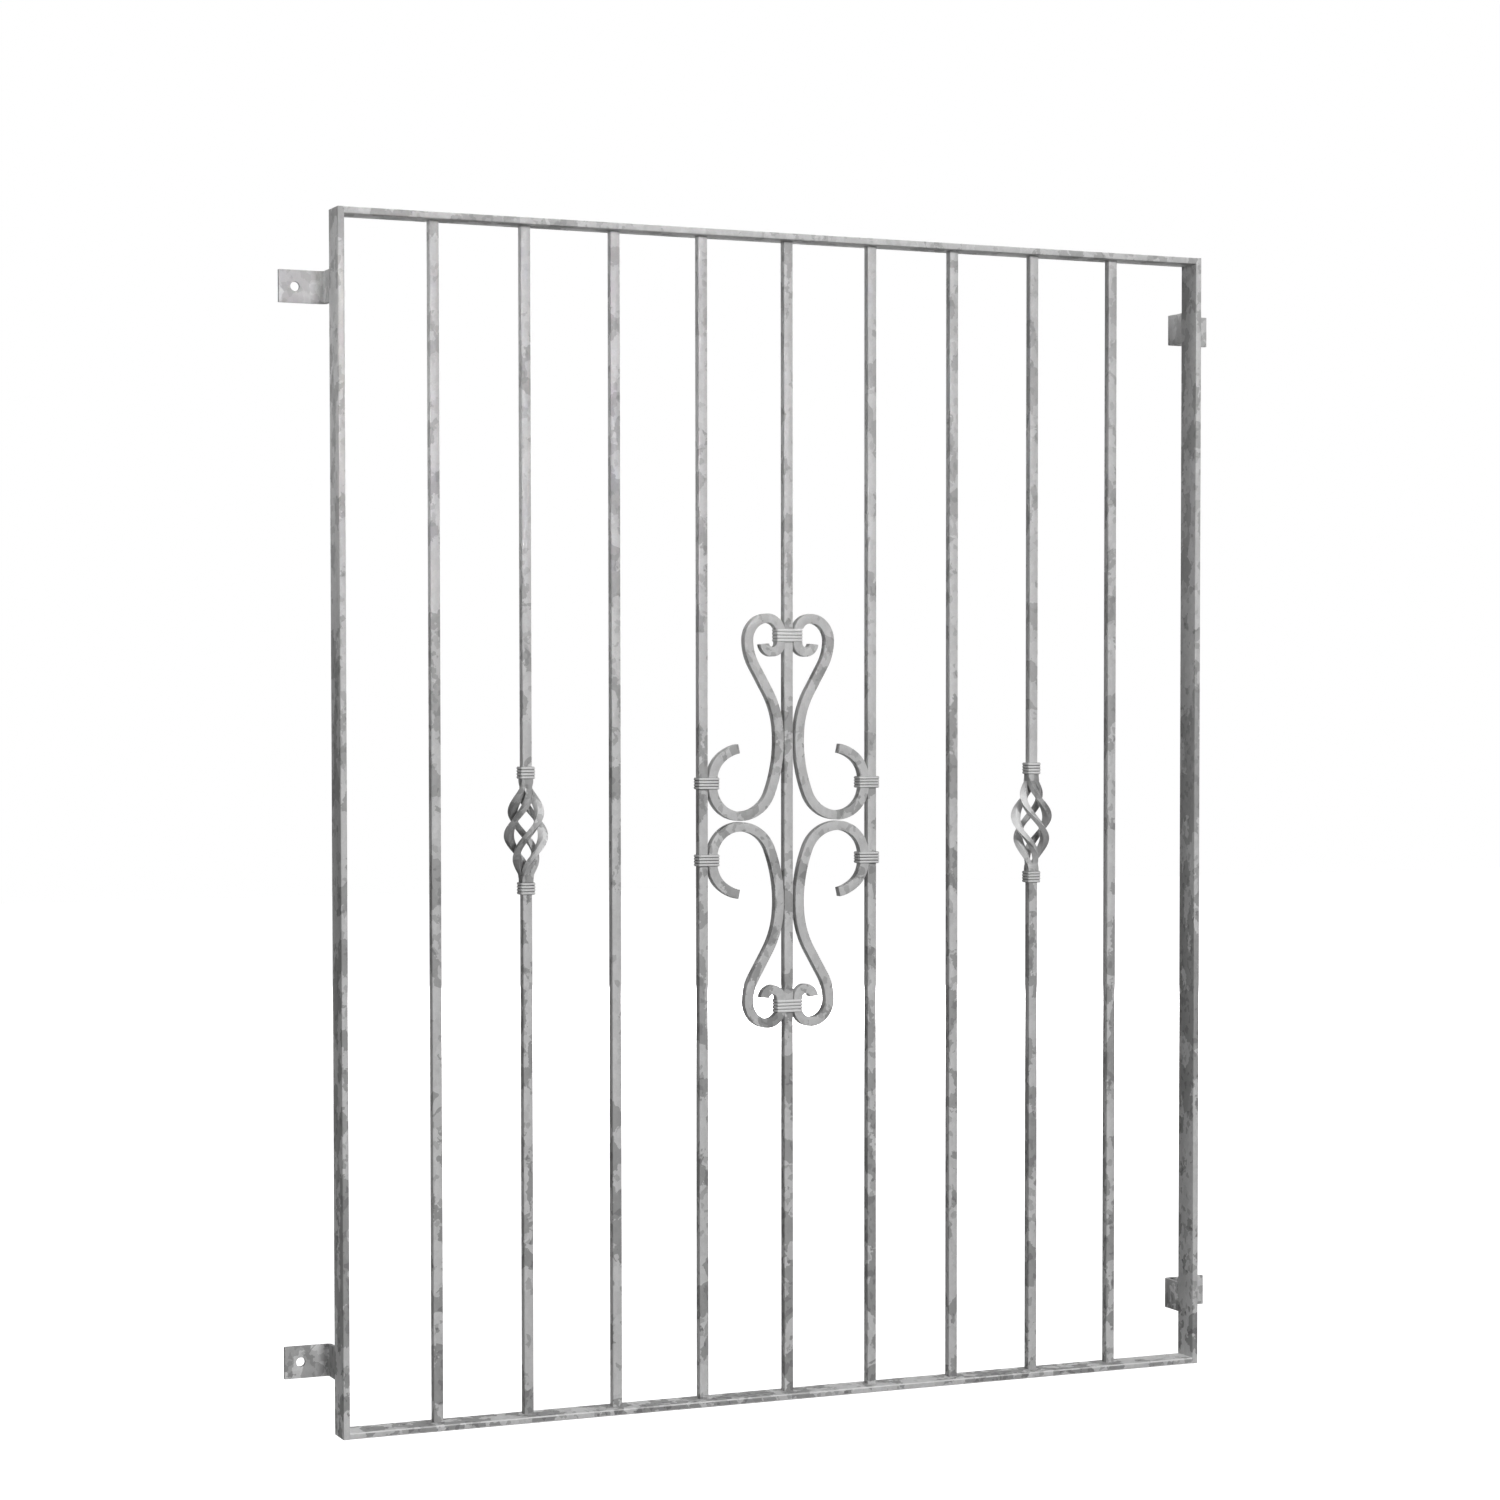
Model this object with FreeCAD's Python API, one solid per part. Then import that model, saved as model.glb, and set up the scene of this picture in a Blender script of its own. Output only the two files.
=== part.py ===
import FreeCAD, Part
import math
import os

V = FreeCAD.Vector

# Window grille: flat bar frame, nine square bars, four S scrolls that form two hearts,
# two twisted baskets, ribbed collars and four bent wall brackets.
# Millimetres. X to the right, Y towards the wall, Z up.
# Origin: centre of the four wall screw holes, on the wall plane.

# frame of flat bar on edge
frame_width = 1200.0
frame_height = 1500.0
frame_depth = 40.0
frame_thick = 8.0
frame_round = 0.8

# square bars between the rails
bar = 12.0
bar_count = 9
bar_set_back = 3.2
pitch = (frame_width - 2 * frame_thick) / (bar_count + 1)

# bent brackets behind the stiles
bracket_width = 40.0
bracket_thick = 5.0
bracket_reach = 41.2
bracket_plate = 60.7
bracket_bend = 2.0
bracket_from_bottom = 85.5
bracket_from_top = 90.0
screw_hole_radius = 5.75
screw_hole_edge = 20.3

# planes and heights that follow from these
frame_rear = -bracket_reach
frame_mid = frame_rear - frame_depth / 2
bar_mid = frame_mid + bar_set_back
bracket_inner = frame_width / 2 - frame_thick
screw_x = bracket_inner + bracket_plate - screw_hole_edge
bracket_low = bracket_from_bottom
bracket_high = frame_height - bracket_from_top
z_low = -(bracket_low + bracket_high) / 2
z_top = z_low + frame_height
z_mid = z_low + frame_height / 2
rail_top = z_low + frame_thick
rail_under = z_top - frame_thick

# scrolls: square bar bent in tangent arcs, each with a radius and a turned angle
# the radii belong to scroll_span, the way from the loop's seat to the curl's seat
scroll = 12.0
scroll_span = 94.4
panel_drop = 1.6
loop_gap = 1.5
loop_seat = 8.6
loop_bottom_radius = 38.1
tip_radius = 38.4
tip_angle = 54.3
tip_end_radius = 51.9
tip_end_angle = 24.2
stem_foot_radius = 44.4
stem_foot_angle = 68.6
stem_low_radius = 187.0
stem_low_angle = 26.7
stem_high_radius = 116.7
stem_high_angle = 24.2
stem_straight = 37.9
heart_side_radius = 66.0
heart_shoulder_radius = 29.2
heart_crown_radius = 25.2
heart_shoulder_angle = 45.0
curl_radius = 11.3
curl_angle = 174.0
curl_seat = 13.4

# collars: ribbed bands bent round the bars
rib_count = 4
rib_chords = 4
rib_depth = 1.0
side_collar_height = 15.0
side_collar_wall = 2.2
heart_collar_height = 17.0
heart_collar_wall = 1.6
heart_collar_rise = 1.6
heart_press = 1.6
basket_collar_height = 15.2
basket_collar_wall = 3.4

# baskets: four square rods, bundled in the necks, twisted and sprung open between them
basket_drop = 9.0
basket_between = 129.4
basket_radius = 28.3
basket_open = 54.6
basket_power = 1.04
neck_half = 7.4
rod_deep = 13.4
rod_across = 11.4
twist_half = 61.0
basket_twist = 270.0
rod_steps = 24
neck_steps = 3
basket_mid = z_mid - basket_drop
basket_bar_end = basket_between / 2 + basket_collar_height / 2

os.makedirs("parts", exist_ok=True)


def save(name, shape):
    shape.exportStep("parts/" + name + ".step")


def box(x0, x1, y0, y1, z0, z1):
    return Part.makeBox(x1 - x0, y1 - y0, z1 - z0, V(x0, y0, z0))


def closed_wire(points):
    return Part.makePolygon(points + points[:1])


def mirror_x(shape):
    return shape.mirror(V(0, 0, 0), V(1, 0, 0))


def mirror_panel(shape):
    return shape.mirror(V(0, 0, panel_mid), V(0, 0, 1))


def bar_x(number):
    return (number - (bar_count + 1) / 2) * pitch


def long_edges(shape, axis, length):
    found = []
    for edge in shape.Edges:
        run = edge.Vertexes[1].Point - edge.Vertexes[0].Point
        if abs(abs(run.dot(axis)) - length) < 1e-6:
            found.append(edge)
    return found


# frame

def stile():
    x0 = frame_width / 2 - frame_thick
    blank = box(x0, frame_width / 2, frame_rear - frame_depth, frame_rear, z_low, z_top)
    return blank.makeFillet(frame_round, long_edges(blank, V(0, 0, 1), frame_height))


def rail(z0):
    half = frame_width / 2 - frame_thick
    blank = box(-half, half, frame_rear - frame_depth, frame_rear, z0, z0 + frame_thick)
    return blank.makeFillet(frame_round, long_edges(blank, V(1, 0, 0), 2 * half))


def square_bar(number, z0, z1):
    x = bar_x(number)
    return box(x - bar / 2, x + bar / 2, bar_mid - bar / 2, bar_mid + bar / 2, z0, z1)


# brackets: a strip bent once, the short leg on the stile and the plate on the wall

def bracket(level_z):
    t = bracket_thick
    x_in = bracket_inner
    x_end = bracket_inner + bracket_plate
    r_in = bracket_bend
    r_out = bracket_bend + t
    mid = math.sqrt(0.5)
    cx = x_in + r_out
    cy = -r_out
    corner = [
        V(x_in, frame_rear, 0),
        V(x_in + t, frame_rear, 0),
        V(x_in + t, cy, 0),
        V(cx, -t, 0),
        V(x_end, -t, 0),
        V(x_end, 0, 0),
        V(cx, 0, 0),
        V(x_in, cy, 0),
    ]
    inner = Part.Arc(corner[2], V(cx - r_in * mid, cy + r_in * mid, 0), corner[3])
    outer = Part.Arc(corner[6], V(cx - r_out * mid, cy + r_out * mid, 0), corner[7])
    edges = [
        Part.makeLine(corner[0], corner[1]),
        Part.makeLine(corner[1], corner[2]),
        inner.toShape(),
        Part.makeLine(corner[3], corner[4]),
        Part.makeLine(corner[4], corner[5]),
        Part.makeLine(corner[5], corner[6]),
        outer.toShape(),
        Part.makeLine(corner[7], corner[0]),
    ]
    solid = Part.Face(Part.Wire(edges)).extrude(V(0, 0, bracket_width))
    solid.translate(V(0, 0, level_z - bracket_width / 2))
    hole = Part.makeCylinder(screw_hole_radius, 3 * t, V(screw_x, -2 * t, level_z), V(0, 1, 0))
    return solid.cut(hole)


# scrolls: centre line as a walk of lines and arcs, offset both ways by half the bar

class Walk:
    def __init__(self, x, z, heading):
        self.x = x
        self.z = z
        self.heading = math.radians(heading)
        self.left = []
        self.right = []

    def side(self, offset):
        nx = -math.sin(self.heading)
        nz = math.cos(self.heading)
        return V(self.x + offset * nx, 0, self.z + offset * nz)

    def line(self, length):
        start = (self.side(scroll / 2), self.side(-scroll / 2))
        self.x += length * math.cos(self.heading)
        self.z += length * math.sin(self.heading)
        end = (self.side(scroll / 2), self.side(-scroll / 2))
        self.left.append(Part.makeLine(start[0], end[0]))
        self.right.append(Part.makeLine(start[1], end[1]))

    def turn(self, radius, angle):
        # positive angles turn to the left
        sign = math.copysign(1.0, angle)
        cx = self.x - sign * radius * math.sin(self.heading)
        cz = self.z + sign * radius * math.cos(self.heading)
        ends = []
        first = self.heading
        for part in (0.0, 0.5, 1.0):
            self.heading = first + math.radians(angle) * part
            self.x = cx + sign * radius * math.sin(self.heading)
            self.z = cz - sign * radius * math.cos(self.heading)
            ends.append((self.side(scroll / 2), self.side(-scroll / 2)))
        self.left.append(Part.Arc(ends[0][0], ends[1][0], ends[2][0]).toShape())
        self.right.append(Part.Arc(ends[0][1], ends[1][1], ends[2][1]).toShape())


panel_mid = z_mid - panel_drop
loop_seat_x = pitch - bar / 2 - scroll / 2
curl_seat_x = bar / 2 + scroll / 2
fit = (loop_seat_x - curl_seat_x) / scroll_span
loop_seat_z = panel_mid + loop_gap / 2 + scroll / 2 + fit * loop_bottom_radius
scroll_front = frame_mid - scroll / 2
scroll_rear = frame_mid + scroll / 2


def scroll_face():
    tip = Walk(loop_seat_x, loop_seat_z, 90.0)
    tip.line(loop_seat)
    tip.turn(fit * tip_radius, tip_angle)
    tip.turn(fit * tip_end_radius, tip_end_angle)
    body = Walk(loop_seat_x, loop_seat_z, -90.0)
    body.turn(fit * loop_bottom_radius, -90.0)
    body.turn(fit * stem_foot_radius, -stem_foot_angle)
    body.turn(fit * stem_low_radius, -stem_low_angle)
    body.turn(fit * stem_high_radius, -stem_high_angle)
    body.line(fit * stem_straight)
    # the heart's side brings the bar upright, its top turns over to the centre bar
    body.turn(fit * heart_side_radius, stem_foot_angle + stem_low_angle + stem_high_angle - 90.0)
    body.turn(fit * heart_shoulder_radius, heart_shoulder_angle)
    body.turn(fit * heart_crown_radius, 90.0 - heart_shoulder_angle)
    body.turn(body.x - curl_seat_x, 90.0)
    seat_top = body.z
    body.line(curl_seat)
    body.turn(fit * curl_radius, curl_angle)
    caps = [
        Part.makeLine(tip.side(scroll / 2), tip.side(-scroll / 2)),
        Part.makeLine(body.side(scroll / 2), body.side(-scroll / 2)),
    ]
    edges = Part.__sortEdges__(tip.left + tip.right + body.left + body.right + caps)
    return Part.Face(Part.Wire(edges)), seat_top


face, heart_seat_top = scroll_face()
heart_collar_mid = heart_seat_top - curl_seat + heart_collar_rise + heart_collar_height / 2
side_collar_mid = loop_seat_z + loop_seat / 2


# collars: a block with round ribs, cut by the bore that the bars fill

def ribbed_profile(half, height, wall):
    rib = height / rib_count
    groove = half + wall - rib_depth
    # each rib is a flat arc through both grooves and the crest, taken in chords
    radius = ((rib / 2) ** 2 + rib_depth ** 2) / (2 * rib_depth)
    reach = math.asin(rib / 2 / radius)
    points = [V(0, 0, -height / 2), V(groove, 0, -height / 2)]
    for number in range(rib_count):
        middle = (number + 0.5) * rib - height / 2
        for step in range(1, rib_chords + 1):
            angle = reach * (2 * step / rib_chords - 1)
            out = groove + rib_depth - radius * (1 - math.cos(angle))
            points.append(V(out, 0, middle + radius * math.sin(angle)))
    points.append(V(0, 0, height / 2))
    return Part.Face(closed_wire(points))


def ribbed_slab(half, length, height, wall):
    side = ribbed_profile(half, height, wall).extrude(V(0, length, 0))
    side.translate(V(0, -length / 2, 0))
    return side.fuse(mirror_x(side)).removeSplitter()


def collar(x0, x1, y0, y1, level_z, height, wall):
    size_x = x1 - x0
    size_y = y1 - y0
    across = ribbed_slab(size_x / 2, size_y + 4 * wall, height, wall)
    along = ribbed_slab(size_y / 2, size_x + 4 * wall, height, wall)
    along.rotate(V(0, 0, 0), V(0, 0, 1), 90)
    block = across.common(along)
    block.translate(V((x0 + x1) / 2, (y0 + y1) / 2, level_z))
    bore = box(x0, x1, y0, y1, level_z - height, level_z + height)
    return block.cut(bore)


def scroll_upper_right():
    solid = face.extrude(V(0, scroll, 0))
    solid.translate(V(0, scroll_front, 0))
    # pressed flat inside the heart collar and the side collar
    grip = heart_bore_half
    low = heart_collar_mid - heart_collar_height / 2
    high = heart_collar_mid + heart_collar_height / 2
    solid = solid.cut(box(grip, grip + scroll / 2, scroll_front, scroll_rear, low, high))
    grip = side_bore_inner
    low = side_collar_mid - side_collar_height / 2
    high = side_collar_mid + side_collar_height / 2
    solid = solid.cut(box(grip - scroll / 2, grip, scroll_front, scroll_rear, low, high))
    return solid


bar_rear = bar_mid + bar / 2
heart_bore_half = bar / 2 + scroll - heart_press
side_bore_outer = pitch + bar / 2
side_bore_inner = side_bore_outer - bar - scroll


# baskets: level sections of the rods, turned and moved out along the height

bundle = neck_half * math.sqrt(2)


def opening(d):
    # how far the rods are sprung open: 1 at mid-height, 0 in the necks
    share = max(math.cos(math.pi * min(abs(d) / (2 * basket_open), 0.5)), 0.0)
    return share ** basket_power


def turned(points, d):
    part = max(-1.0, min(1.0, d / twist_half))
    angle = math.radians(basket_twist / 2) * part
    c = math.cos(angle)
    s = math.sin(angle)
    return [V(x * c - y * s, x * s + y * c, d) for x, y in points]


def rod_outline(d, quarter):
    # a square on its corner, whose level section grows where the rod leans
    share = opening(d)
    grown = min(2 * share, 1.0)
    deep = bundle + (rod_deep - bundle) * grown
    across = bundle + (rod_across - bundle) * grown
    outer = bundle + (basket_radius - bundle) * share
    middle = outer - deep / 2
    corners = [(outer - deep, 0), (middle, -across / 2), (outer, 0), (middle, across / 2)]
    for turn in range(quarter):
        corners = [(-y, x) for x, y in corners]
    return turned(corners, d)


def neck_outline(d):
    corners = []
    quarter = [(bundle, 0), (bundle / 2, bundle / 2)]
    for turn in range(4):
        corners += quarter
        quarter = [(-y, x) for x, y in quarter]
    return turned(corners, d)


def faceted_loft(outlines):
    # flat triangles between level outlines that have the same number of corners
    faces = [Part.Face(closed_wire(outlines[0])), Part.Face(closed_wire(outlines[-1]))]
    for lower, upper in zip(outlines, outlines[1:]):
        for i in range(len(lower)):
            faces.append(Part.Face(closed_wire([lower[i - 1], lower[i], upper[i]])))
            faces.append(Part.Face(closed_wire([lower[i - 1], upper[i], upper[i - 1]])))
    shell = Part.makeShell(faces)
    shell.sewShape()
    solid = Part.Solid(shell)
    if solid.Volume < 0:
        solid.reverse()
    return solid


def basket():
    end = basket_between / 2
    levels = [basket_open * (2 * i / rod_steps - 1) for i in range(rod_steps + 1)]
    pieces = []
    for quarter in range(4):
        pieces.append(faceted_loft([rod_outline(d, quarter) for d in levels]))
    # the necks go on turning for a while and end square with the bar
    levels = [basket_open + (twist_half - basket_open) * i / neck_steps for i in range(neck_steps + 1)] + [end]
    pieces.append(faceted_loft([neck_outline(d) for d in levels]))
    pieces.append(faceted_loft([neck_outline(-d) for d in levels]))
    half = bar / 2
    pieces.append(box(-half, half, -half, half, end, basket_bar_end))
    pieces.append(box(-half, half, -half, half, -basket_bar_end, -end))
    return pieces[0].multiFuse(pieces[1:])


def place_basket(shape, number):
    moved = shape.copy()
    moved.translate(V(bar_x(number), bar_mid, basket_mid))
    return moved


# write the pieces

right = stile()
save("right_stile", right)
save("left_stile", mirror_x(right))
save("top_rail", rail(rail_under))
save("bottom_rail", rail(z_low))

left_cut = 2
right_cut = bar_count + 1 - left_cut
for number in range(1, bar_count + 1):
    if number in (left_cut, right_cut):
        low_end = basket_mid - basket_bar_end
        high_end = basket_mid + basket_bar_end
        save("bar_%d_lower" % number, square_bar(number, rail_top, low_end))
        save("bar_%d_upper" % number, square_bar(number, high_end, rail_under))
    else:
        save("bar_%d" % number, square_bar(number, rail_top, rail_under))

upper_right = scroll_upper_right()
save("scroll_upper_right", upper_right)
save("scroll_upper_left", mirror_x(upper_right))
save("scroll_lower_right", mirror_panel(upper_right))
save("scroll_lower_left", mirror_x(mirror_panel(upper_right)))

heart = collar(-heart_bore_half, heart_bore_half, scroll_front, bar_rear,
               heart_collar_mid, heart_collar_height, heart_collar_wall)
save("heart_collar_upper", heart)
save("heart_collar_lower", mirror_panel(heart))

loop = collar(side_bore_inner, side_bore_outer, scroll_front, bar_rear,
              side_collar_mid, side_collar_height, side_collar_wall)
save("side_collar_upper_right", loop)
save("side_collar_upper_left", mirror_x(loop))
save("side_collar_lower_right", mirror_panel(loop))
save("side_collar_lower_left", mirror_x(mirror_panel(loop)))

left_basket = basket()
right_basket = mirror_x(left_basket)
save("basket_left", place_basket(left_basket, left_cut))
save("basket_right", place_basket(right_basket, right_cut))
for side, number in (("left", left_cut), ("right", right_cut)):
    x = bar_x(number)
    for level, sign in (("lower", -1), ("upper", 1)):
        middle = basket_mid + sign * basket_bar_end
        ring = collar(x - bar / 2, x + bar / 2, bar_mid - bar / 2, bar_rear,
                      middle, basket_collar_height, basket_collar_wall)
        save("basket_%s_collar_%s" % (side, level), ring)

for level, height in (("lower", bracket_low), ("upper", bracket_high)):
    strap = bracket(z_low + height)
    save("bracket_%s_right" % level, strap)
    save("bracket_%s_left" % level, mirror_x(strap))
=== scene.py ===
import bpy
import math
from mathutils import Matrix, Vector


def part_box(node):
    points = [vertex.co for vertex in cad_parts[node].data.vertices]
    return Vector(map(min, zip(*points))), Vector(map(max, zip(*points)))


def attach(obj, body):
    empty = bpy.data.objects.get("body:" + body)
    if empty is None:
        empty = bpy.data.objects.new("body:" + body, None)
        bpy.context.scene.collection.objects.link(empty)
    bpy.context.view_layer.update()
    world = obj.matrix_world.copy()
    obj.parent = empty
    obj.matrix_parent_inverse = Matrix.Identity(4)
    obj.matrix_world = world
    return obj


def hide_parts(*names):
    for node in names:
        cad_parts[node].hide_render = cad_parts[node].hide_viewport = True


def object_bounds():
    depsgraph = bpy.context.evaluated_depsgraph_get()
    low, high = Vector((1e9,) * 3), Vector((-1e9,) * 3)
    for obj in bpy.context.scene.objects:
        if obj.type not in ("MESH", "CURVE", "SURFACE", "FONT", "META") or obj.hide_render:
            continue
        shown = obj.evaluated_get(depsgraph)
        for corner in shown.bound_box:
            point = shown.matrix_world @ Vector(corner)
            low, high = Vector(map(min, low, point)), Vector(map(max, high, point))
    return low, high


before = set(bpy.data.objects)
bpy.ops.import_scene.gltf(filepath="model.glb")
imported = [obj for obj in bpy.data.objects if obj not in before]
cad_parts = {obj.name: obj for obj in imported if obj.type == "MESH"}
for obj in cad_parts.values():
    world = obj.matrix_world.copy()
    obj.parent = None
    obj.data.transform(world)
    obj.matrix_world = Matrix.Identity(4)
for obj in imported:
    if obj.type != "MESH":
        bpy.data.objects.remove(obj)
solid_low, solid_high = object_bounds()

mm = 0.001

# sections of the stock, the edges left by rolling and zinc, and the collars' walls
bar = 12 * mm
scroll = 12 * mm
frame_edge = 0.9 * mm
sill_edge = 1.6 * mm
bar_edge = 0.6 * mm
scroll_edge = 0.8 * mm
heart_collar_wall = 1.6 * mm
side_collar_wall = 2.2 * mm
basket_collar_wall = 3.4 * mm

# planes of the grille, taken from the solids
panel_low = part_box("scroll_lower_right")
panel_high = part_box("scroll_upper_right")
panel_mid = (panel_low[0][2] + panel_high[1][2]) / 2
scroll_y = (panel_high[0][1] + panel_high[1][1]) / 2
pitch = (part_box("bar_6")[0][0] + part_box("bar_6")[1][0]) / 2


# bench work: picking, bevelling, cutting and copying


def put_down():
    if bpy.context.mode != "OBJECT":
        bpy.ops.object.mode_set(mode="OBJECT")
    bpy.ops.object.select_all(action="DESELECT")


def take_up(piece):
    put_down()
    piece.select_set(True)
    bpy.context.view_layer.objects.active = piece


def start_piece(name):
    piece = bpy.context.active_object
    piece.name = name
    piece.data.name = name
    bpy.ops.object.transform_apply(location=True, rotation=True, scale=True)
    return piece


def block(name, low, high):
    put_down()
    size = [b - a for a, b in zip(low, high)]
    middle = [(a + b) / 2 for a, b in zip(low, high)]
    bpy.ops.mesh.primitive_cube_add(size=1, location=middle, scale=size)
    return start_piece(name)


def pick_faces(piece, wanted):
    bpy.ops.object.mode_set(mode="EDIT")
    bpy.ops.mesh.select_mode(type="FACE")
    bpy.ops.mesh.select_all(action="DESELECT")
    bpy.ops.object.mode_set(mode="OBJECT")
    for face in piece.data.polygons:
        face.select = wanted(face)
    bpy.ops.object.mode_set(mode="EDIT")


def pick_edges(piece, wanted):
    bpy.ops.object.mode_set(mode="EDIT")
    bpy.ops.mesh.select_mode(type="EDGE")
    bpy.ops.mesh.select_all(action="DESELECT")
    bpy.ops.object.mode_set(mode="OBJECT")
    points = piece.data.vertices
    for edge in piece.data.edges:
        edge.select = wanted(points[edge.vertices[0]].co, points[edge.vertices[1]].co)
    bpy.ops.object.mode_set(mode="EDIT")


def pull(x, y, z):
    bpy.ops.mesh.extrude_region_move(TRANSFORM_OT_translate={"value": (x, y, z)})


def close_up(piece):
    bpy.ops.object.mode_set(mode="EDIT")
    bpy.ops.mesh.select_all(action="SELECT")
    bpy.ops.mesh.remove_doubles(threshold=1e-6)
    bpy.ops.mesh.normals_make_consistent(inside=False)
    bpy.ops.object.mode_set(mode="OBJECT")


def ease_edges(piece, width, turns, sharper_than):
    take_up(piece)
    ease = piece.modifiers.new("eased_edges", "BEVEL")
    ease.width = width
    ease.segments = turns
    ease.limit_method = "ANGLE"
    ease.angle_limit = math.radians(sharper_than)
    bpy.ops.object.modifier_apply(modifier=ease.name)


def cut_away(piece, cutter):
    take_up(piece)
    cut = piece.modifiers.new("cut", "BOOLEAN")
    cut.operation = "DIFFERENCE"
    cut.solver = "EXACT"
    cut.object = cutter
    bpy.ops.object.modifier_apply(modifier=cut.name)
    put_down()
    bpy.data.objects.remove(cutter)


def polish(piece, angle):
    take_up(piece)
    bpy.ops.object.shade_smooth_by_angle(angle=math.radians(angle))


def another(piece, name):
    copy = piece.copy()
    copy.data = piece.data.copy()
    copy.name = name
    copy.data.name = name
    bpy.context.scene.collection.objects.link(copy)
    return copy


def shift(piece, x, y, z):
    take_up(piece)
    bpy.ops.object.mode_set(mode="EDIT")
    bpy.ops.mesh.select_all(action="SELECT")
    bpy.ops.transform.translate(value=(x, y, z))
    bpy.ops.object.mode_set(mode="OBJECT")


def mirrored(piece, name, scale, centre):
    copy = another(piece, name)
    take_up(copy)
    bpy.ops.object.mode_set(mode="EDIT")
    bpy.ops.mesh.select_all(action="SELECT")
    bpy.ops.transform.resize(value=scale, center_override=centre)
    bpy.ops.mesh.normals_make_consistent(inside=False)
    bpy.ops.object.mode_set(mode="OBJECT")
    return copy


def fit(piece, node, slot, *finishes):
    if not piece.data.materials:
        for finish in finishes:
            piece.data.materials.append(finish)
    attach(piece, "root")
    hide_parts(node)


# zinc finishes


def link(tree, source, target):
    tree.links.new(source, target)


def cloud(tree, place, scale, detail, rough, warp):
    node = tree.nodes.new("ShaderNodeTexNoise")
    node.inputs["Scale"].default_value = scale
    node.inputs["Detail"].default_value = detail
    node.inputs["Roughness"].default_value = rough
    node.inputs["Distortion"].default_value = warp
    link(tree, place, node.inputs["Vector"])
    return node.outputs["Fac"]


def step_up(tree, value, start, end, low, high):
    node = tree.nodes.new("ShaderNodeMapRange")
    node.inputs["From Min"].default_value = start
    node.inputs["From Max"].default_value = end
    node.inputs["To Min"].default_value = low
    node.inputs["To Max"].default_value = high
    link(tree, value, node.inputs["Value"])
    return node.outputs["Result"]


def work(tree, operation, a, b):
    node = tree.nodes.new("ShaderNodeMath")
    node.operation = operation
    for socket, value in zip(node.inputs, (a, b)):
        if isinstance(value, (int, float)):
            socket.default_value = value
        else:
            link(tree, value, socket)
    return node.outputs["Value"]


# flakes of the zinc: their breadth, their length and how far their edges fray
large_flake = (16 * mm, 27 * mm, 14 * mm)
small_flake = (6 * mm, 8 * mm, 6 * mm)

# noise scales: of the frayed edges, the groups of dull flakes, the grain and the runs
fray_scale = 150.0
drift_scale = 11.0
grain_scale = 420.0
run_scale = 33.0

# how much darker a dull flake and a dull speck are, and the specks' share of the dull flakes
flake_dulling = 0.36
speck_dulling = 0.24
speck_share = 0.35

# heights between which the finish changes, and what is left of the dulling at the upper one
zinc_low = -0.7
zinc_high = 0.7
upper_dulling = 0.55

# distances from the middle between which a basket's painted shading turns from paler to darker
side_shading_near = 0.336
side_shading_far = 0.372


def flakes(tree, place, across, along, ragged):
    # crystals of the frozen zinc with ragged edges, each with two numbers of its own
    fray = tree.nodes.new("ShaderNodeTexNoise")
    fray.inputs["Scale"].default_value = fray_scale
    fray.inputs["Detail"].default_value = 3.0
    link(tree, place, fray.inputs["Vector"])
    frayed = tree.nodes.new("ShaderNodeVectorMath")
    frayed.operation = "MULTIPLY_ADD"
    frayed.inputs[1].default_value = (ragged, ragged, ragged)
    link(tree, fray.outputs["Color"], frayed.inputs[0])
    link(tree, place, frayed.inputs[2])
    stretch = tree.nodes.new("ShaderNodeMapping")
    stretch.inputs["Scale"].default_value = (1 / across, 1 / across, 1 / along)
    link(tree, frayed.outputs["Vector"], stretch.inputs["Vector"])
    cells = tree.nodes.new("ShaderNodeTexVoronoi")
    cells.inputs["Scale"].default_value = 1.0
    link(tree, stretch.outputs["Vector"], cells.inputs["Vector"])
    numbers = tree.nodes.new("ShaderNodeSeparateColor")
    link(tree, cells.outputs["Color"], numbers.inputs["Color"])
    return numbers.outputs["Red"], numbers.outputs["Green"]


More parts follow.
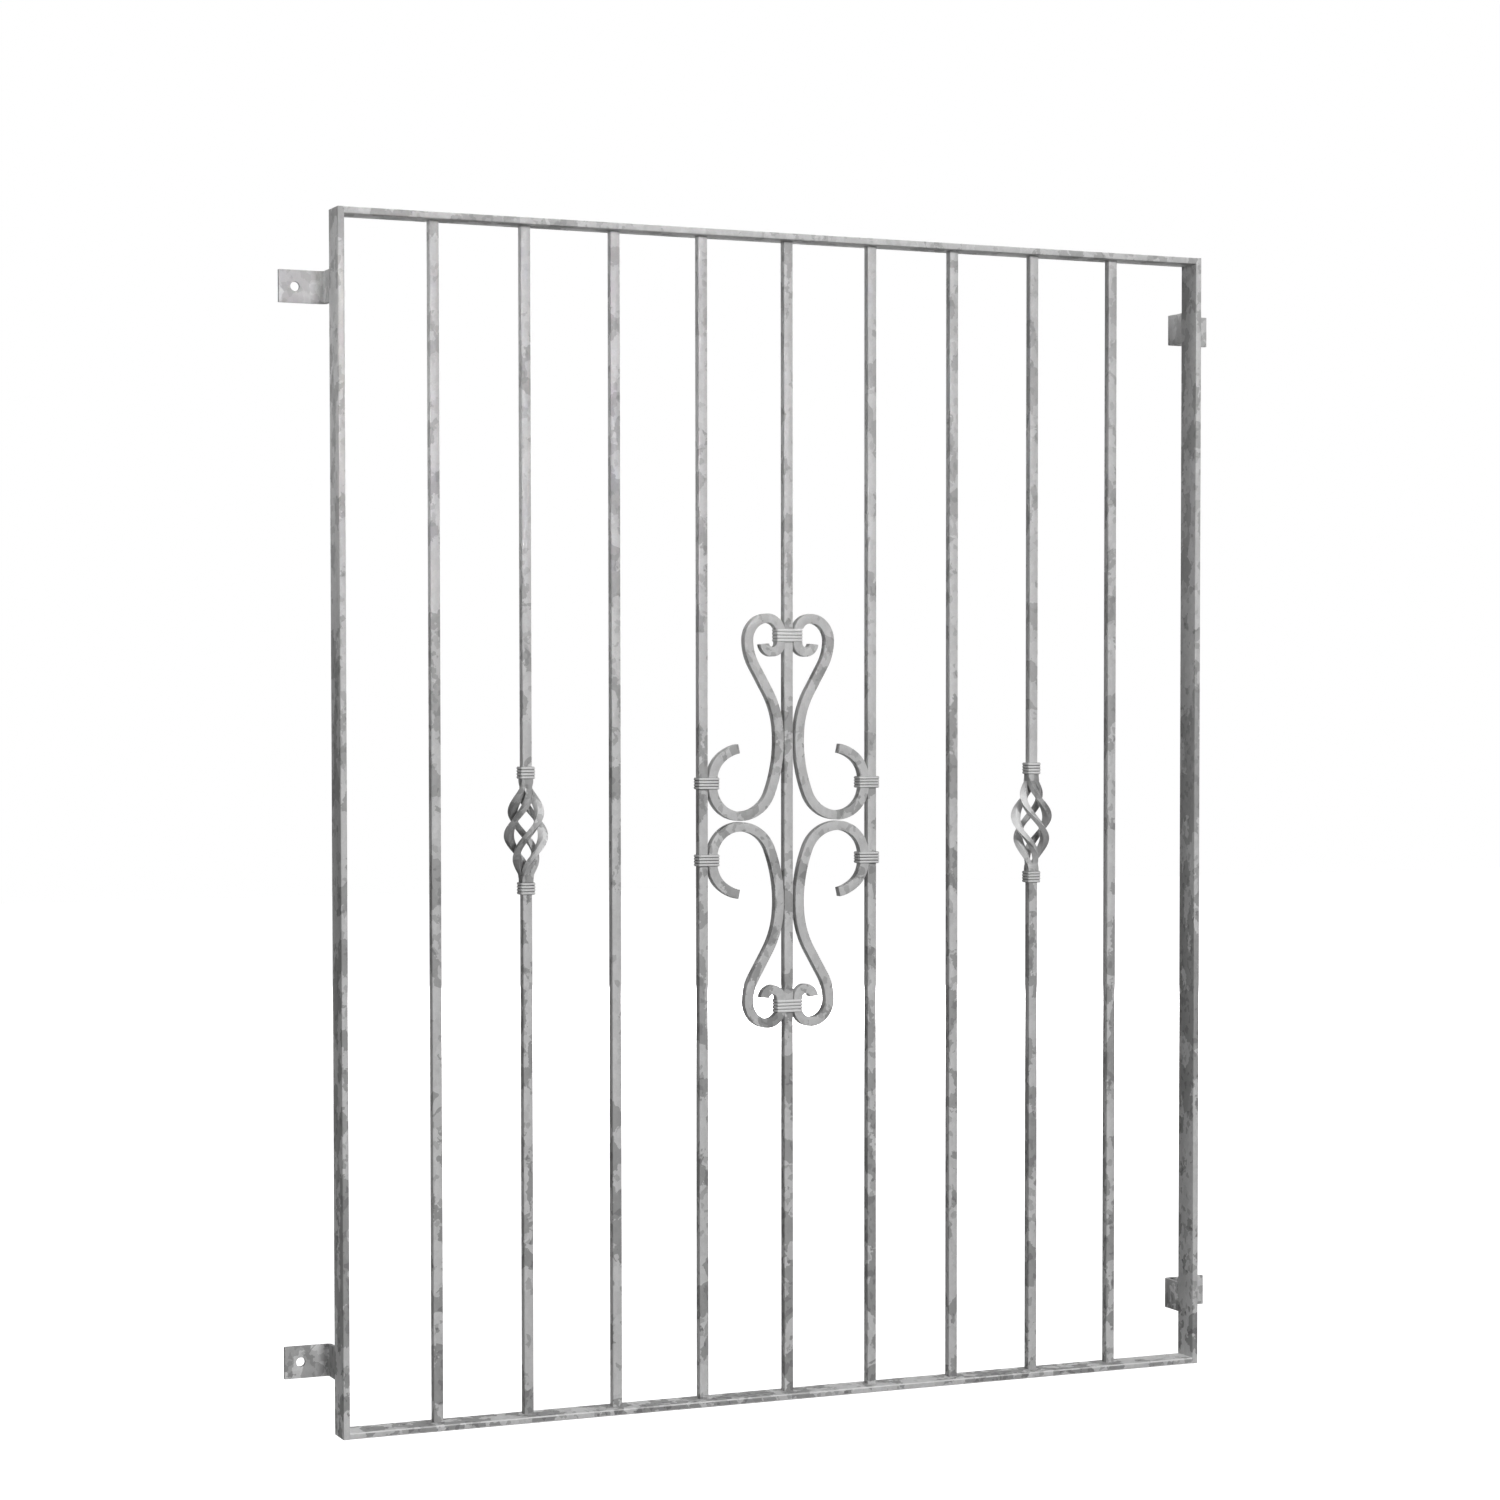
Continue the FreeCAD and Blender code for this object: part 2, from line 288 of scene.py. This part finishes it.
def zinc(name, pale, dull_share, depth, offset, painted_side_shading=False):
    finish = bpy.data.materials.new(name)
    finish.use_nodes = True
    tree = finish.node_tree
    shader = tree.nodes["Principled BSDF"]
    place = tree.nodes.new("ShaderNodeTexCoord").outputs["Object"]
    mapping = tree.nodes.new("ShaderNodeMapping")
    mapping.inputs["Location"].default_value = offset
    link(tree, place, mapping.inputs["Vector"])
    spot = mapping.outputs["Vector"]
    parts = tree.nodes.new("ShaderNodeSeparateXYZ")
    link(tree, place, parts.inputs["Vector"])

    # dull flakes gather in groups, more of them and darker towards the bottom of the grille
    drift = step_up(tree, cloud(tree, spot, drift_scale, 3.0, 0.5, 0.0), 0.3, 0.7, -0.45, 0.45)
    sunk = step_up(tree, parts.outputs["Z"], zinc_low, zinc_high, 0.10, -0.06)
    share = work(tree, "ADD", work(tree, "ADD", drift, sunk), dull_share)
    large, large_tone = flakes(tree, spot, *large_flake)
    small, small_tone = flakes(tree, spot, *small_flake)
    dull = work(tree, "LESS_THAN", large, share)
    specks = work(tree, "LESS_THAN", small, work(tree, "MULTIPLY", share, speck_share))
    dulling = step_up(tree, parts.outputs["Z"], zinc_low, zinc_high, depth, upper_dulling * depth)

    def dulled(amount, most):
        lost = work(tree, "MULTIPLY", work(tree, "MULTIPLY", amount, most), dulling)
        return work(tree, "SUBTRACT", 1.0, lost)

    def own_tone(number, swing):
        return step_up(tree, number, 0.0, 1.0, 1 - swing * depth, 1 + swing * depth)

    tone = work(tree, "MULTIPLY", dulled(dull, flake_dulling), dulled(specks, speck_dulling))
    tone = work(tree, "MULTIPLY", tone, own_tone(large_tone, 0.06))
    tone = work(tree, "MULTIPLY", tone, own_tone(small_tone, 0.04))
    grain = cloud(tree, spot, grain_scale, 3.0, 0.6, 0.0)
    tone = work(tree, "MULTIPLY", tone, step_up(tree, grain, 0.25, 0.75, 0.96, 1.04))
    if painted_side_shading:
        # painted light and shade: the half nearest the middle is painted paler and the outer half
        # darker
        aside = work(tree, "ABSOLUTE", parts.outputs["X"], 0.0)
        tone = work(tree, "MULTIPLY", tone, step_up(tree, aside, side_shading_near, side_shading_far, 1.26, 0.60))
    colour = tree.nodes.new("ShaderNodeVectorMath")
    colour.operation = "SCALE"
    colour.inputs[0].default_value = (pale, pale, pale)
    link(tree, tone, colour.inputs["Scale"])
    link(tree, colour.outputs["Vector"], shader.inputs["Base Color"])

    rough = step_up(tree, dull, 0.0, 1.0, 0.54, 0.64)
    rough = work(tree, "ADD", rough, step_up(tree, grain, 0.25, 0.75, -0.05, 0.05))
    link(tree, rough, shader.inputs["Roughness"])
    shader.inputs["Metallic"].default_value = 0.06
    shader.inputs["Specular IOR Level"].default_value = 0.06

    runs = cloud(tree, spot, run_scale, 3.0, 0.5, 1.6)
    relief = step_up(tree, grain, 0.2, 0.8, 0.0, 0.35)
    relief = work(tree, "ADD", relief, step_up(tree, runs, 0.2, 0.8, 0.0, 1.0))
    bump = tree.nodes.new("ShaderNodeBump")
    bump.inputs["Strength"].default_value = 0.12
    bump.inputs["Distance"].default_value = 0.4 * mm
    link(tree, relief, bump.inputs["Height"])
    link(tree, bump.outputs["Normal"], shader.inputs["Normal"])
    return finish


# each finish: its pale tone, the share of dull flakes, their depth and the pattern's offset
frame_zinc = zinc("frame_zinc", 0.65, 0.38, 1.2, (0.37, 0.3, 0.45))
bar_zinc = zinc("bar_zinc", 0.64, 0.33, 1.15, (0.3, 0.1, 0.7))
scroll_zinc = zinc("scroll_zinc", 0.62, 0.30, 1.1, (0.92, 0.55, 0.37))
# the baskets carry painted light and shade on their sides
basket_zinc = zinc("basket_zinc", 0.63, 0.25, 1.0, (0.4, 0.2, 0.8), painted_side_shading=True)
# a paler zinc for the bottom rail's edges: a painted highlight
painted_highlight_zinc = zinc("painted_highlight_zinc", 0.80, 0.10, 0.6, (0.37, 0.3, 0.45))
collar_zinc = zinc("collar_zinc", 0.78, 0.10, 0.4, (0.6, 0.2, 0.9))
# a darker zinc for the collars' grooves: painted shade
groove_shade_zinc = zinc("groove_shade_zinc", 0.22, 0.10, 0.6, (0.6, 0.2, 0.9))
bright_zinc = zinc("bright_zinc", 0.86, 0.05, 0.2, (0.6, 0.2, 0.9))
# a darker zinc for the heart collars' grooves: painted shade
bright_groove_shade_zinc = zinc("bright_groove_shade_zinc", 0.45, 0.05, 0.2, (0.6, 0.2, 0.9))
# the brackets' zinc is a little paler than the frame's to lift the stile's shadow on the plates:
# painted light
bracket_zinc = zinc("bracket_zinc", 0.69, 0.42, 1.0, (0.5, 0.7, 0.3))
# a darker zinc for the brackets' end and hole wall: painted shade
end_and_hole_shade_zinc = zinc("end_and_hole_shade_zinc", 0.26, 0.20, 0.6, (0.5, 0.7, 0.3))


# frame and bars: straight stock with its long edges eased


def straight_bar(node, edge, turns, face_finish, edge_finish):
    low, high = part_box(node)
    piece = block("zinc_" + node, low, high)
    piece.data.materials.append(face_finish)
    piece.data.materials.append(edge_finish)
    run = max(range(3), key=lambda axis: high[axis] - low[axis])
    pick_edges(piece, lambda a, b: abs(a[run] - b[run]) > 0.1)
    bpy.ops.mesh.bevel(offset=edge, offset_type="OFFSET", segments=turns, affect="EDGES", material=1)
    bpy.ops.object.mode_set(mode="OBJECT")
    polish(piece, 40)
    return piece


for node in ("left_stile", "right_stile", "top_rail"):
    fit(straight_bar(node, frame_edge, 3, frame_zinc, frame_zinc), node, "frame_steel")
# the bottom rail's eased edges get a paler zinc: a painted highlight
fit(straight_bar("bottom_rail", sill_edge, 4, frame_zinc, painted_highlight_zinc), "bottom_rail", "frame_steel")

for node in ("bar_1", "bar_2_lower", "bar_2_upper", "bar_3", "bar_4", "bar_5", "bar_6", "bar_7",
             "bar_8_lower", "bar_8_upper", "bar_9"):
    fit(straight_bar(node, bar_edge, 2, bar_zinc, bar_zinc), node, "bar_steel")


# scrolls: a square bar bent on the flat, from the seat of its loop outwards and then to the curl

loop_gap = 1.5 * mm
loop_seat = 8.6 * mm
loop_bottom_radius = 38.1 * mm
loop_seat_x = pitch - bar / 2 - scroll / 2
loop_seat_z = panel_mid + loop_gap / 2 + scroll / 2 + loop_bottom_radius
tip_radius = 38.4 * mm
tip_angle = 54.3
tip_end_radius = 51.9 * mm
tip_end_angle = 24.2
stem_foot_radius = 44.4 * mm
stem_foot_angle = 68.6
stem_low_radius = 187.0 * mm
stem_low_angle = 26.7
stem_high_radius = 116.7 * mm
stem_high_angle = 24.2
stem_straight = 37.9 * mm
heart_side_radius = 66.0 * mm
heart_shoulder_radius = 29.2 * mm
heart_shoulder_angle = 45
heart_crown_radius = 25.2 * mm
curl_seat_x = bar / 2 + scroll / 2
curl_seat = 13.4 * mm
curl_radius = 11.3 * mm
curl_angle = 174
degrees_a_step = 3


class BentBar:
    def __init__(self, x, z, heading):
        self.x = x
        self.z = z
        self.heading = math.radians(heading)

    def run(self, length):
        x = length * math.cos(self.heading)
        z = length * math.sin(self.heading)
        pull(x, 0, z)
        self.x += x
        self.z += z

    def bend(self, radius, angle):
        # positive angles bend to the left
        side = math.copysign(radius, angle)
        middle_x = self.x - side * math.sin(self.heading)
        middle_z = self.z + side * math.cos(self.heading)
        steps = math.ceil(abs(angle) / degrees_a_step)
        bpy.ops.mesh.spin(steps=steps, angle=math.radians(angle), axis=(0, 1, 0),
                          center=(middle_x, scroll_y, middle_z))
        self.heading += math.radians(angle)
        self.x = middle_x + side * math.sin(self.heading)
        self.z = middle_z - side * math.cos(self.heading)


def heart_scroll(name):
    put_down()
    bpy.ops.mesh.primitive_plane_add(size=scroll, location=(loop_seat_x, scroll_y, loop_seat_z))
    piece = start_piece(name)
    bpy.ops.object.mode_set(mode="EDIT")
    bpy.ops.mesh.select_all(action="SELECT")
    tip = BentBar(loop_seat_x, loop_seat_z, 90)
    tip.run(loop_seat)
    tip.bend(tip_radius, tip_angle)
    tip.bend(tip_end_radius, tip_end_angle)
    pick_faces(piece, lambda face: abs(face.center.z - loop_seat_z) < 1e-6)
    body = BentBar(loop_seat_x, loop_seat_z, -90)
    body.bend(loop_bottom_radius, -90)
    body.bend(stem_foot_radius, -stem_foot_angle)
    body.bend(stem_low_radius, -stem_low_angle)
    body.bend(stem_high_radius, -stem_high_angle)
    body.run(stem_straight)
    body.bend(heart_side_radius, stem_foot_angle + stem_low_angle + stem_high_angle - 90)
    body.bend(heart_shoulder_radius, heart_shoulder_angle)
    body.bend(heart_crown_radius, 90 - heart_shoulder_angle)
    body.bend(body.x - curl_seat_x, 90)
    body.run(curl_seat)
    body.bend(curl_radius, curl_angle)
    close_up(piece)
    ease_edges(piece, scroll_edge, 3, 50)
    return piece


# the scroll is let in where the collars grip it
heart = heart_scroll("zinc_scroll_upper_right")
heart_low, heart_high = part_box("heart_collar_upper")
cut_away(heart, block("heart_grip", (heart_high[0] - heart_collar_wall, heart_low[1], heart_low[2]),
                      (heart_high[0] + scroll, heart_high[1], heart_high[2])))
side_low, side_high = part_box("side_collar_upper_right")
cut_away(heart, block("side_grip", (side_low[0] - scroll, side_low[1], side_low[2]),
                      (side_low[0] + side_collar_wall, side_high[1], side_high[2])))
polish(heart, 40)
panel_centre = (0, 0, panel_mid)
scrolls = {
    "scroll_upper_right": heart,
    "scroll_upper_left": mirrored(heart, "zinc_scroll_upper_left", (-1, 1, 1), panel_centre),
    "scroll_lower_right": mirrored(heart, "zinc_scroll_lower_right", (1, 1, -1), panel_centre),
    "scroll_lower_left": mirrored(heart, "zinc_scroll_lower_left", (-1, 1, -1), panel_centre),
}
for node, piece in scrolls.items():
    fit(piece, node, "scroll_steel", scroll_zinc)


# collars: four round ribs drawn up level by level, then bored for the bars

rib_count = 4
rib_levels = 6
rib_depth = 1.0 * mm
collar_corner = 1.1 * mm
groove_from = 0.34


def ribbed_collar(node, wall, rib_finish, groove_shade_finish):
    low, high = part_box(node)
    half_x = (high[0] - low[0]) / 2
    half_y = (high[1] - low[1]) / 2
    middle = ((low[0] + high[0]) / 2, (low[1] + high[1]) / 2, low[2])
    rib = (high[2] - low[2]) / rib_count
    radius = ((rib / 2) ** 2 + rib_depth ** 2) / (2 * rib_depth)
    reach = math.asin(rib / 2 / radius)
    put_down()
    bpy.ops.mesh.primitive_plane_add(size=1, location=middle)
    piece = start_piece("zinc_" + node)
    out = -rib_depth
    up = -rib / 2
    bpy.ops.object.mode_set(mode="EDIT")
    bpy.ops.mesh.select_all(action="SELECT")
    bpy.ops.transform.resize(value=(2 * (half_x + out), 2 * (half_y + out), 1), center_override=middle)
    bpy.ops.mesh.bevel(offset=collar_corner, segments=3, affect="VERTICES")
    bpy.ops.mesh.select_all(action="SELECT")
    for level in range(rib_count * rib_levels):
        angle = reach * (2 * (level % rib_levels + 1) / rib_levels - 1)
        next_out = -radius * (1 - math.cos(angle))
        next_up = (level // rib_levels) * rib + radius * math.sin(angle)
        wider = (half_x + next_out) / (half_x + out)
        deeper = (half_y + next_out) / (half_y + out)
        pull(0, 0, next_up - up)
        bpy.ops.transform.resize(value=(wider, deeper, 1), center_override=middle)
        out = next_out
        up = next_up
    close_up(piece)
    # the grooves get a darker zinc: painted shade in the creases
    piece.data.materials.append(rib_finish)
    piece.data.materials.append(groove_shade_finish)
    for face in piece.data.polygons:
        along = (face.center.z - low[2]) / rib % 1
        face.material_index = int(abs(along - 0.5) > groove_from and abs(face.normal.z) < 0.99)
    bore = block("bore", (low[0] + wall, low[1] + wall, low[2] - rib),
                 (high[0] - wall, high[1] - wall, high[2] + rib))
    cut_away(piece, bore)
    polish(piece, 35)
    return piece


def place_like(model, model_node, node):
    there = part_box(node)
    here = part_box(model_node)
    copy = another(model, "zinc_" + node)
    shift(copy, *[b - a for a, b in zip(here[0], there[0])])
    return copy


for model_node, wall, ribs, grooves, others in (
    ("heart_collar_upper", heart_collar_wall, bright_zinc, bright_groove_shade_zinc, ("heart_collar_lower",)),
    ("side_collar_upper_right", side_collar_wall, collar_zinc, groove_shade_zinc,
     ("side_collar_upper_left", "side_collar_lower_right", "side_collar_lower_left")),
    ("basket_left_collar_upper", basket_collar_wall, collar_zinc, groove_shade_zinc,
     ("basket_left_collar_lower", "basket_right_collar_upper", "basket_right_collar_lower")),
):
    collar = ribbed_collar(model_node, wall, ribs, grooves)
    for node in others:
        fit(place_like(collar, model_node, node), node, "collar_steel")
    fit(collar, model_node, "collar_steel")


# baskets: one rod drawn up level by level, set four times round, then twisted

basket_end = 64.7 * mm
basket_open = 54.6 * mm
basket_radius = 28.3 * mm
basket_power = 1.04
neck_half = 7.4 * mm
rod_deep = 13.4 * mm
rod_across = 11.4 * mm
rod_edge = 0.45 * mm
rod_levels = 52
neck_levels = 4
twist_half = 61.0 * mm
basket_twist = 270.0
bundle = neck_half * math.sqrt(2)


def rod_section(d):
    # a square on its corner: its middle, its depth towards the axis and its breadth across
    share = max(math.cos(math.pi * min(abs(d) / (2 * basket_open), 0.5)), 0.0) ** basket_power
    grown = min(2 * share, 1.0)
    deep = bundle + (rod_deep - bundle) * grown
    across = bundle + (rod_across - bundle) * grown
    outer = bundle + (basket_radius - bundle) * share
    return outer - deep / 2, deep, across


def twisted_basket(name):
    neck_step = (twist_half - basket_open) / neck_levels
    neck = [basket_open + neck_step * (i + 1) for i in range(neck_levels)] + [basket_end]
    levels = [-d for d in reversed(neck)]
    levels += [basket_open * (2 * i / rod_levels - 1) for i in range(rod_levels + 1)]
    levels += neck
    put_down()
    bpy.ops.mesh.primitive_plane_add(size=neck_half, location=(bundle / 2, 0, levels[0]),
                                     rotation=(0, 0, math.pi / 4))
    piece = start_piece(name)
    bpy.ops.object.mode_set(mode="EDIT")
    bpy.ops.mesh.select_all(action="SELECT")
    for below, above in zip(levels, levels[1:]):
        old_middle, old_deep, old_across = rod_section(below)
        middle, deep, across = rod_section(above)
        pull(middle - old_middle, 0, above - below)
        bpy.ops.transform.resize(value=(deep / old_deep, across / old_across, 1),
                                 center_override=(middle, 0, above))
    # the necks are one piece: the walls between the rods go
    pick_faces(piece, lambda face: basket_open < abs(face.center.z) < basket_end - 1e-6
               and face.center.x < bundle / 2 - 1e-5)
    bpy.ops.mesh.delete(type="FACE")
    bpy.ops.mesh.select_all(action="SELECT")
    for quarter in range(3):
        bpy.ops.mesh.duplicate()
        bpy.ops.transform.rotate(value=math.pi / 2, orient_axis="Z", center_override=(0, 0, 0))
    close_up(piece)
    ease_edges(piece, rod_edge, 3, 50)
    twist = piece.modifiers.new("twist", "SIMPLE_DEFORM")
    twist.deform_method = "TWIST"
    twist.deform_axis = "Z"
    twist.angle = math.radians(basket_twist)
    twist.limits = (0.5 - twist_half / (2 * basket_end), 0.5 + twist_half / (2 * basket_end))
    bpy.ops.object.modifier_apply(modifier=twist.name)
    return piece


def set_basket(piece, node):
    low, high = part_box(node)
    shift(piece, (low[0] + high[0]) / 2, (low[1] + high[1]) / 2, (low[2] + high[2]) / 2)
    polish(piece, 45)
    fit(piece, node, "basket_steel", basket_zinc)


left_basket = twisted_basket("zinc_basket_left")
right_basket = mirrored(left_basket, "zinc_basket_right", (-1, 1, 1), (0, 0, 0))
set_basket(left_basket, "basket_left")
set_basket(right_basket, "basket_right")


# brackets: a strip bent once and punched for the wall screw

bracket_thick = 5.0 * mm
bracket_bend = 2.0 * mm
bracket_edge = 0.35 * mm
screw_hole_radius = 5.75 * mm
screw_hole_edge = 20.3 * mm
bend_steps = 10
hole_sides = 64


def wall_bracket(node):
    low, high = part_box(node)
    width = high[2] - low[2]
    level = (low[2] + high[2]) / 2
    leg_end = (low[0] + bracket_thick / 2, low[1], level)
    hole_x = high[0] - screw_hole_edge
    turn = bracket_bend + bracket_thick
    put_down()
    bpy.ops.mesh.primitive_plane_add(size=bracket_thick, location=leg_end, rotation=(math.pi / 2, 0, 0))
    piece = start_piece("zinc_" + node)
    bpy.ops.object.mode_set(mode="EDIT")
    bpy.ops.mesh.select_all(action="SELECT")
    bpy.ops.transform.resize(value=(1, 1, width / bracket_thick), center_override=leg_end)
    pull(0, high[1] - turn - low[1], 0)
    bpy.ops.mesh.spin(steps=bend_steps, angle=math.pi / 2, axis=(0, 0, 1),
                      center=(low[0] + turn, high[1] - turn, level))
    pull(high[0] - low[0] - turn, 0, 0)
    close_up(piece)
    put_down()
    bpy.ops.mesh.primitive_cylinder_add(vertices=hole_sides, radius=screw_hole_radius,
                                        depth=4 * bracket_thick, rotation=(math.pi / 2, 0, 0),
                                        location=(hole_x, high[1] - bracket_thick / 2, level))
    cut_away(piece, start_piece("punch"))
    ease_edges(piece, bracket_edge, 2, 50)
    # the end face and the punched hole's wall get a darker zinc: painted shade
    piece.data.materials.append(bracket_zinc)
    piece.data.materials.append(end_and_hole_shade_zinc)
    for face in piece.data.polygons:
        off = math.hypot(face.center.x - hole_x, face.center.z - level)
        bored = off < screw_hole_radius + bracket_edge and abs(face.normal.y) < 0.5
        end_face = face.center.x > high[0] - 0.01 * mm and face.normal.x > 0.9
        face.material_index = int(bored or end_face)
    polish(piece, 40)
    return piece


strap = wall_bracket("bracket_upper_right")
strap_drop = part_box("bracket_lower_right")[0][2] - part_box("bracket_upper_right")[0][2]
low_strap = another(strap, "zinc_bracket_lower_right")
shift(low_strap, 0, 0, strap_drop)
brackets = {
    "bracket_upper_right": strap,
    "bracket_lower_right": low_strap,
    "bracket_upper_left": mirrored(strap, "zinc_bracket_upper_left", (-1, 1, 1), (0, 0, 0)),
    "bracket_lower_left": mirrored(low_strap, "zinc_bracket_lower_left", (-1, 1, 1), (0, 0, 0)),
}
for node, piece in brackets.items():
    fit(piece, node, "bracket_steel")


# studio: pale floor well below the hung grille, white all round and five lamps

floor_size = 40
floor_drop = 0.5
put_down()
bpy.ops.mesh.primitive_plane_add(size=floor_size, location=(0, 0, solid_low[2] - floor_drop))
floor = start_piece("studio_floor")


def seen_or_mirrored(tree):
    path = tree.nodes.new("ShaderNodeLightPath")
    seen = work(tree, "MAXIMUM", path.outputs["Is Camera Ray"], path.outputs["Is Glossy Ray"])
    return work(tree, "MAXIMUM", seen, path.outputs["Is Transmission Ray"])


floor_finish = bpy.data.materials.new("pale_floor")
floor_finish.use_nodes = True
tree = floor_finish.node_tree
paint = tree.nodes["Principled BSDF"]
paint.inputs["Roughness"].default_value = 0.9
paint.inputs["Specular IOR Level"].default_value = 0.1
paint.inputs["Emission Color"].default_value = (1.0, 1.0, 1.0, 1.0)
seen = seen_or_mirrored(tree)
link(tree, step_up(tree, seen, 0.0, 1.0, 0.04, 0.80), paint.inputs["Base Color"])
reach = tree.nodes.new("ShaderNodeVectorMath")
reach.operation = "LENGTH"
link(tree, tree.nodes.new("ShaderNodeTexCoord").outputs["Object"], reach.inputs[0])
glow = step_up(tree, reach.outputs["Value"], 1.2, 2.6, 0.92, 1.0)
link(tree, work(tree, "MULTIPLY", seen, glow), paint.inputs["Emission Strength"])
floor.data.materials.append(floor_finish)

world = bpy.data.worlds.new("white_studio")
bpy.context.scene.world = world
world.use_nodes = True
tree = world.node_tree
sky = tree.nodes["Background"]
seen = seen_or_mirrored(tree)
sky.inputs["Color"].default_value = (1.0, 1.0, 1.0, 1.0)
link(tree, step_up(tree, seen, 0.0, 1.0, 0.05, 1.0), sky.inputs["Strength"])


def soft_lamp(name, place, aim, size, spread, power):
    lamp = bpy.data.lights.new(name, "AREA")
    lamp.shape = "SQUARE"
    lamp.size = size
    lamp.spread = spread
    lamp.energy = power
    stand = bpy.data.objects.new(name, lamp)
    stand.location = place
    from_aim = [a - b for a, b in zip(place, aim)]
    away = math.hypot(from_aim[0], from_aim[1])
    stand.rotation_euler = (math.atan2(away, from_aim[2]), 0, math.atan2(from_aim[0], -from_aim[1]))
    stand.visible_camera = False
    bpy.context.scene.collection.objects.link(stand)
    return stand


# each lamp: its place, its aim, its size, the spread of its light and its power
soft_lamp("front_lamp", (-0.15, -5.0, 1.3), (2.25, -0.06, 1.6), 0.8, math.pi, 176)
soft_lamp("top_lamp", (0.0, -0.06, 4.5), (0.0, -0.06, 0.0), 1.5, math.pi, 93)
# a narrow beam on the upper left
soft_lamp("left_lamp", (-4.89, -2.36, 0.888), (-0.369, 0.03, 0.546), 0.3, 0.20, 0.479)
# a weak lamp that lifts the lower left
low_lamp = soft_lamp("low_lamp", (-1.4, -0.62, -0.8), (-0.6, -0.06, -0.6), 0.3, math.pi, 1.7)
low_lamp.visible_glossy = False
back_lamp = soft_lamp("back_lamp", (5.0, 11.5, 0.5), (0.0, 0.0, 0.0), 2.0, math.pi, 700)
back_lamp.visible_glossy = False

# the photograph's camera, solved from the frame's corners and the bars
camera = bpy.data.cameras.new("camera")
camera.lens = 82.80
camera.sensor_width = 36.0
camera.shift_x = -0.0608
camera.shift_y = 0.0482
stand = bpy.data.objects.new("camera", camera)
stand.location = (-1.76931, -4.14510, 0.15343)
stand.rotation_euler = (math.pi / 2 - 0.03477, 0.0, -0.42429)
bpy.context.scene.collection.objects.link(stand)
bpy.context.scene.camera = stand

bpy.context.scene.view_settings.view_transform = "Standard"
